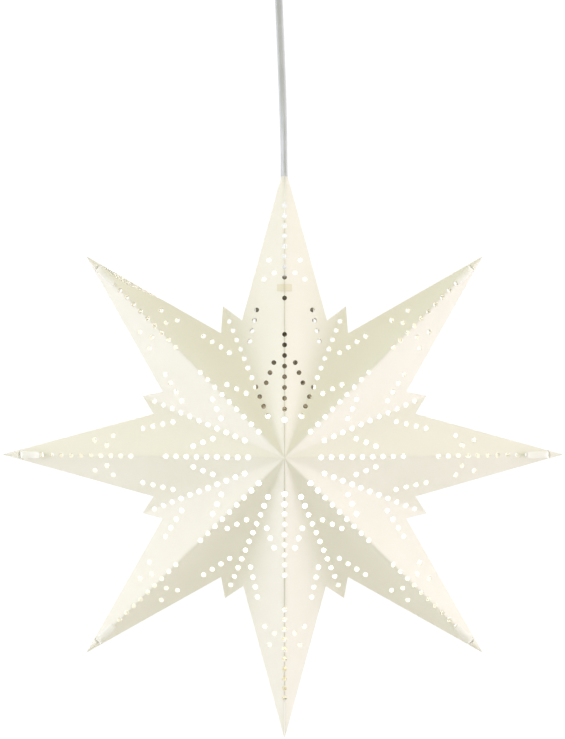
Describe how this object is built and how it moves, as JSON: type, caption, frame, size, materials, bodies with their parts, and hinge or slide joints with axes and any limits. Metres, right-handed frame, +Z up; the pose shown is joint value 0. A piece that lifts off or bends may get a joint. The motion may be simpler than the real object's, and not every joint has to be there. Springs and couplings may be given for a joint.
{
  "type": "moravian star pendant light",
  "caption": "Lit card star pendant: folded eight-point star with punched light holes, hung by flex from a ceiling cup, with lampholder and bulb inside.",
  "frame": {"origin": "on the ceiling plane, midway between the two screw holes of the ceiling plate", "axes": "+Z up, -Y out of the star's front, +X to the right seen from the front"},
  "size_m": [0.447, 0.1298, 0.6711],
  "materials": {
    "card": "matt, slightly fibrous",
    "card_strip": "matt paper tape",
    "flex": "satin PVC",
    "dark_plastic": "moulded, satin",
    "white_plastic": "moulded, satin",
    "ceramic": "unglazed",
    "brass": "plain",
    "steel": "zinc plated",
    "painted_steel": "satin white",
    "bulb_glass": "opal, lit",
    "bulb_metal": "rolled thread",
    "black_glass": "vitrite",
    "core_wire": "insulated core"
  },
  "bodies": {
    "ceiling_fixing": {"ceiling_plate": "painted_steel", "ceiling_hook": "steel", "hook_nut": "steel"},
    "ring": {"suspension_ring": "steel"},
    "pendant": {"cord_grip": "white_plastic", "grip_clamp": "white_plastic", "grip_screws": "steel", "terminal_block": "white_plastic", "terminal_block_screws": "brass", "upper_leads": "core_wire", "cord": "flex", "cord_gland": "dark_plastic", "gland_screw": "white_plastic", "lampholder_cap": "dark_plastic", "lampholder_sleeve": "dark_plastic", "contact_insert": "ceramic", "screw_shell": "brass", "centre_contact": "brass", "terminal_screws": "brass", "lower_leads": "core_wire"},
    "cup": {"ceiling_cup": "white_plastic", "cup_collar": "white_plastic", "collar_screw": "white_plastic"},
    "star": {"front_left_sheet": "card", "front_right_sheet": "card", "back_left_sheet": "card", "back_right_sheet": "card", "front_seam_strip": "card_strip", "back_seam_strips": "card_strip"},
    "flap": {"front_top_flap": "card", "closing_strip": "card_strip"},
    "bulb": {"bulb_globe": "bulb_glass", "bulb_screw_cap": "bulb_metal", "bulb_insulator": "black_glass", "bulb_contact": "bulb_metal"}
  },
  "joints": [
    {"name": "ring_swing", "type": "hinge", "parent": "ceiling_fixing", "child": "ring", "pos_m": [0, 0, -0.023], "axis": [0, 1, 0], "range_deg": [-4, 4]},
    {"name": "pendant_swing", "type": "hinge", "parent": "ring", "child": "pendant", "pos_m": [0, 0, -0.0353], "axis": [1, 0, 0], "range_deg": [-4, 4]},
    {"name": "cup_slide", "type": "slide", "parent": "pendant", "child": "cup", "axis": [0.0447, 0, -0.999], "range_m": [0, 0.06]},
    {"name": "star_turn", "type": "hinge", "parent": "pendant", "child": "star", "pos_m": [0.006, 0, -0.315], "axis": [0, 0, 1], "continuous": true},
    {"name": "flap_open", "type": "hinge", "parent": "star", "child": "flap", "pos_m": [0.006, -0.065, -0.445], "axis": [0.342, -0.4489, -0.8256], "range_deg": [0, 95]},
    {"name": "bulb_out", "type": "slide", "parent": "pendant", "child": "bulb", "axis": [0, 0, -1], "range_m": [0, 0.028]}
  ]
}
